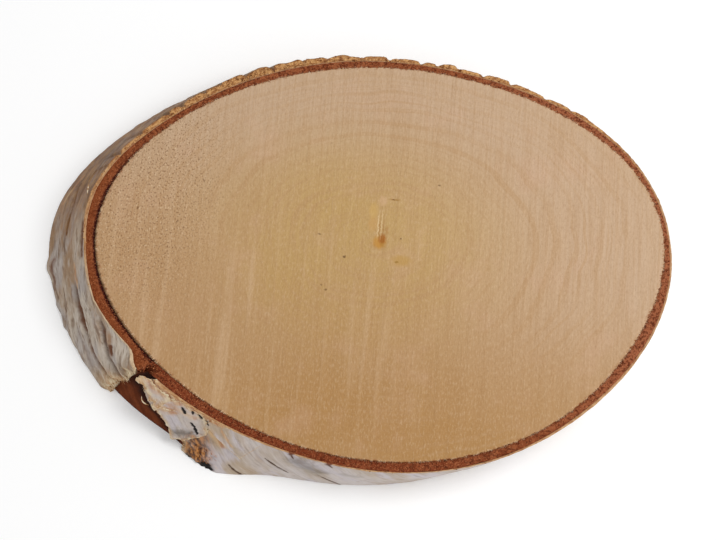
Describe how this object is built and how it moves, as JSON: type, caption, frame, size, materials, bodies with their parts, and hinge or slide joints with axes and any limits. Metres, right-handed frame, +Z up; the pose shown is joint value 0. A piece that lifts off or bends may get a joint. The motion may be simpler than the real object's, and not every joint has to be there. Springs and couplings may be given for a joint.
{
  "type": "birch wood slice",
  "caption": "Oval oblique slice of a birch trunk with a flat sawn face, red-brown inner bark ring and torn papery white outer bark; lies flat as a board or stand.",
  "frame": {"origin": "middle of the underside's bounding box, on the surface that the slice lies on", "axes": "+X along the oval's length, +Y across it, +Z up out of the sawn face; the trunk's own axis leans down towards -X by 42 degrees from the vertical"},
  "size_m": [0.2432, 0.1718, 0.017],
  "materials": {
    "sawn_wood": "pale sawn birch, dry and matt, with faint growth rings, saw marks and an orange-brown pith",
    "inner_bark": "red-brown granular inner bark, matt",
    "outer_bark": "papery grey-white birch bark with brown lenticels, cream torn edges and tan sawn edges, satin to matt"
  },
  "bodies": {
    "root": {"wood": "sawn_wood", "inner_bark": "inner_bark", "outer_bark": "outer_bark"}
  },
  "joints": []
}
